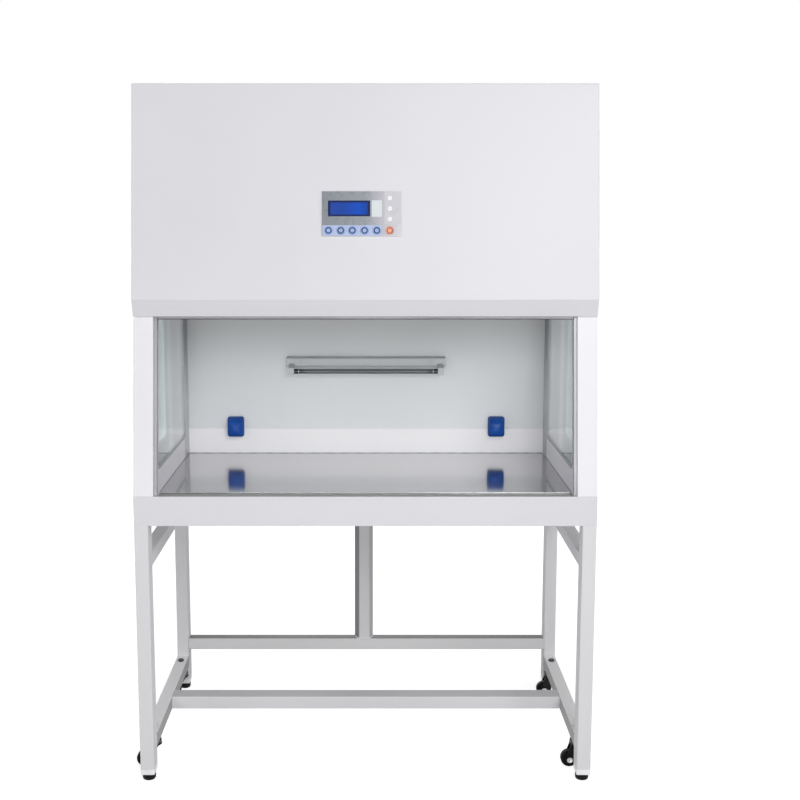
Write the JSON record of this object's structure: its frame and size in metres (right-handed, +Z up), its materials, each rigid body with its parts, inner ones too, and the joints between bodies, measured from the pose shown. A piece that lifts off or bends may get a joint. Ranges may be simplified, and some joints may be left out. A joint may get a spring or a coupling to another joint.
{
  "type": "laminar flow hood",
  "caption": "Vertical-flow clean bench: sloping hood with control panel, sliding front sash, glazed sides, steel worktop, lidded sockets, tubular stand on casters and levelling feet",
  "frame": {"origin": "on the floor, at the middle of the whole footprint, casters included", "axes": "+X to the user's right, +Y from the user to the rear, +Z up"},
  "size_m": [1.335, 0.78, 1.9865],
  "materials": {
    "cabinet_enamel": "satin light grey-white enamel",
    "stand_enamel": "satin light grey enamel",
    "end_plug": "moulded white plastic",
    "foot_black": "moulded black plastic",
    "stainless": "polished stainless sheet",
    "chamber_wall": "satin pale grey enamel",
    "air_outlet": "white enamel",
    "window_glass": "clear toughened glass",
    "anodised": "anodised extrusion",
    "zinc": "dark zinc plate",
    "caster_black": "black enamel",
    "caster_tread": "moulded black plastic",
    "socket_blue": "moulded blue plastic",
    "lid_blue": "moulded blue plastic",
    "lamp_white": "white enamel",
    "lamp_glass": "lamp glass with metal caps",
    "work_light": "opal diffuser",
    "panel_grey": "printed polyester film",
    "display_blue": "lit display and lamps",
    "key_blue": "moulded keys",
    "key_orange": "moulded key",
    "galvanised": "galvanised sheet",
    "motor_dark": "painted casting",
    "filter_pack": "framed glass-fibre paper pack",
    "filter_fibre": "white fibre mat",
    "inlet_black": "moulded black plastic"
  },
  "bodies": {
    "root": {"back_wall": "chamber_wall", "base_tray": "cabinet_enamel", "blower_housing": "galvanised", "blower_motor": "motor_dark", "caster_pivots": "zinc", "centre_post": "stand_enamel", "control_plate": "panel_grey", "diffuser": "air_outlet", "display_board": "display_blue", "front_left_leg": "stand_enamel", "front_right_leg": "stand_enamel", "hepa_filter": "filter_pack", "hood_front_panel": "cabinet_enamel", "left_side_glass": "window_glass", "left_side_panel": "cabinet_enamel", "left_socket_base": "socket_blue", "leg_end_plugs": "end_plug", "lower_side_rails": "stand_enamel", "mains_inlet": "inlet_black", "middle_cross_rail": "stand_enamel", "prefilter": "filter_fibre", "rear_left_leg": "stand_enamel", "rear_lower_rail": "stand_enamel", "rear_panel": "cabinet_enamel", "rear_right_leg": "stand_enamel", "rear_upper_rail": "stand_enamel", "right_side_glass": "window_glass", "right_side_panel": "cabinet_enamel", "right_socket_base": "socket_blue", "sash_guides": "anodised", "top_cover": "cabinet_enamel", "upper_side_rails": "stand_enamel", "uv_lamp_housing": "lamp_white", "uv_lamp_tube": "lamp_glass", "work_lamp": "work_light", "worktop": "stainless"},
    "sash": {"sash_glass": "window_glass", "sash_handle": "anodised"},
    "left_lid": {"left_socket_lid": "lid_blue"},
    "right_lid": {"right_socket_lid": "lid_blue"},
    "fan_wheel": {"blower_impeller": "galvanised"},
    "key_1": {"control_key_1": "key_blue"},
    "key_2": {"control_key_2": "key_blue"},
    "key_3": {"control_key_3": "key_blue"},
    "key_4": {"control_key_4": "key_blue"},
    "key_5": {"control_key_5": "key_blue"},
    "key_6": {"control_key_6": "key_orange"},
    "front_left_fork": {"front_left_caster_fork": "caster_black"},
    "front_left_wheel": {"front_left_caster_wheel": "caster_tread"},
    "front_left_foot": {"front_left_levelling_foot": "foot_black"},
    "front_right_fork": {"front_right_caster_fork": "caster_black"},
    "front_right_wheel": {"front_right_caster_wheel": "caster_tread"},
    "front_right_foot": {"front_right_levelling_foot": "foot_black"},
    "rear_left_fork": {"rear_left_caster_fork": "caster_black"},
    "rear_left_wheel": {"rear_left_caster_wheel": "caster_tread"},
    "rear_left_foot": {"rear_left_levelling_foot": "foot_black"},
    "rear_right_fork": {"rear_right_caster_fork": "caster_black"},
    "rear_right_wheel": {"rear_right_caster_wheel": "caster_tread"},
    "rear_right_foot": {"rear_right_levelling_foot": "foot_black"}
  },
  "joints": [
    {"name": "sash_slide", "type": "slide", "parent": "root", "child": "sash", "axis": [0, -0.1495, -0.9888], "range_m": [0, 0.49861]},
    {"name": "left_lid_hinge", "type": "hinge", "parent": "root", "child": "left_lid", "pos_m": [-0.4155, 0.244, 0.9625], "axis": [-1, 0, 0], "range_deg": [0, 95]},
    {"name": "right_lid_hinge", "type": "hinge", "parent": "root", "child": "right_lid", "pos_m": [0.4405, 0.244, 0.9625], "axis": [-1, 0, 0], "range_deg": [0, 95]},
    {"name": "key_1_press", "type": "slide", "parent": "root", "child": "key_1", "axis": [0, 0.9888, -0.1495], "range_m": [0, 0.0012], "stiffness_N_per_m": 1200, "springref_m": -0.001},
    {"name": "key_2_press", "type": "slide", "parent": "root", "child": "key_2", "axis": [0, 0.9888, -0.1495], "range_m": [0, 0.0012], "stiffness_N_per_m": 1200, "springref_m": -0.001},
    {"name": "key_3_press", "type": "slide", "parent": "root", "child": "key_3", "axis": [0, 0.9888, -0.1495], "range_m": [0, 0.0012], "stiffness_N_per_m": 1200, "springref_m": -0.001},
    {"name": "key_4_press", "type": "slide", "parent": "root", "child": "key_4", "axis": [0, 0.9888, -0.1495], "range_m": [0, 0.0012], "stiffness_N_per_m": 1200, "springref_m": -0.001},
    {"name": "key_5_press", "type": "slide", "parent": "root", "child": "key_5", "axis": [0, 0.9888, -0.1495], "range_m": [0, 0.0012], "stiffness_N_per_m": 1200, "springref_m": -0.001},
    {"name": "key_6_press", "type": "slide", "parent": "root", "child": "key_6", "axis": [0, 0.9888, -0.1495], "range_m": [0, 0.0012], "stiffness_N_per_m": 1200, "springref_m": -0.001},
    {"name": "fan_spin", "type": "hinge", "parent": "root", "child": "fan_wheel", "pos_m": [0.0125, 0.01, 1.7455], "axis": [1, 0, 0], "continuous": true},
    {"name": "front_left_swivel", "type": "hinge", "parent": "root", "child": "front_left_fork", "pos_m": [-0.6175, -0.277, 0.0835], "axis": [0, 0, 1], "continuous": true},
    {"name": "front_left_wheel_spin", "type": "hinge", "parent": "front_left_fork", "child": "front_left_wheel", "pos_m": [-0.6425, -0.277, 0.027], "axis": [0, 1, 0], "continuous": true},
    {"name": "front_left_foot_screw", "type": "slide", "parent": "root", "child": "front_left_foot", "axis": [0, 0, -1], "range_m": [0, 0.03]},
    {"name": "front_right_swivel", "type": "hinge", "parent": "root", "child": "front_right_fork", "pos_m": [0.6425, -0.277, 0.0835], "axis": [0, 0, 1], "continuous": true},
    {"name": "front_right_wheel_spin", "type": "hinge", "parent": "front_right_fork", "child": "front_right_wheel", "pos_m": [0.6175, -0.277, 0.027], "axis": [0, 1, 0], "continuous": true},
    {"name": "front_right_foot_screw", "type": "slide", "parent": "root", "child": "front_right_foot", "axis": [0, 0, -1], "range_m": [0, 0.03]},
    {"name": "rear_left_swivel", "type": "hinge", "parent": "root", "child": "rear_left_fork", "pos_m": [-0.6175, 0.277, 0.0835], "axis": [0, 0, 1], "continuous": true},
    {"name": "rear_left_wheel_spin", "type": "hinge", "parent": "rear_left_fork", "child": "rear_left_wheel", "pos_m": [-0.6425, 0.277, 0.027], "axis": [0, 1, 0], "continuous": true},
    {"name": "rear_left_foot_screw", "type": "slide", "parent": "root", "child": "rear_left_foot", "axis": [0, 0, -1], "range_m": [0, 0.03]},
    {"name": "rear_right_swivel", "type": "hinge", "parent": "root", "child": "rear_right_fork", "pos_m": [0.6425, 0.277, 0.0835], "axis": [0, 0, 1], "continuous": true},
    {"name": "rear_right_wheel_spin", "type": "hinge", "parent": "rear_right_fork", "child": "rear_right_wheel", "pos_m": [0.6175, 0.277, 0.027], "axis": [0, 1, 0], "continuous": true},
    {"name": "rear_right_foot_screw", "type": "slide", "parent": "root", "child": "rear_right_foot", "axis": [0, 0, -1], "range_m": [0, 0.03]}
  ]
}
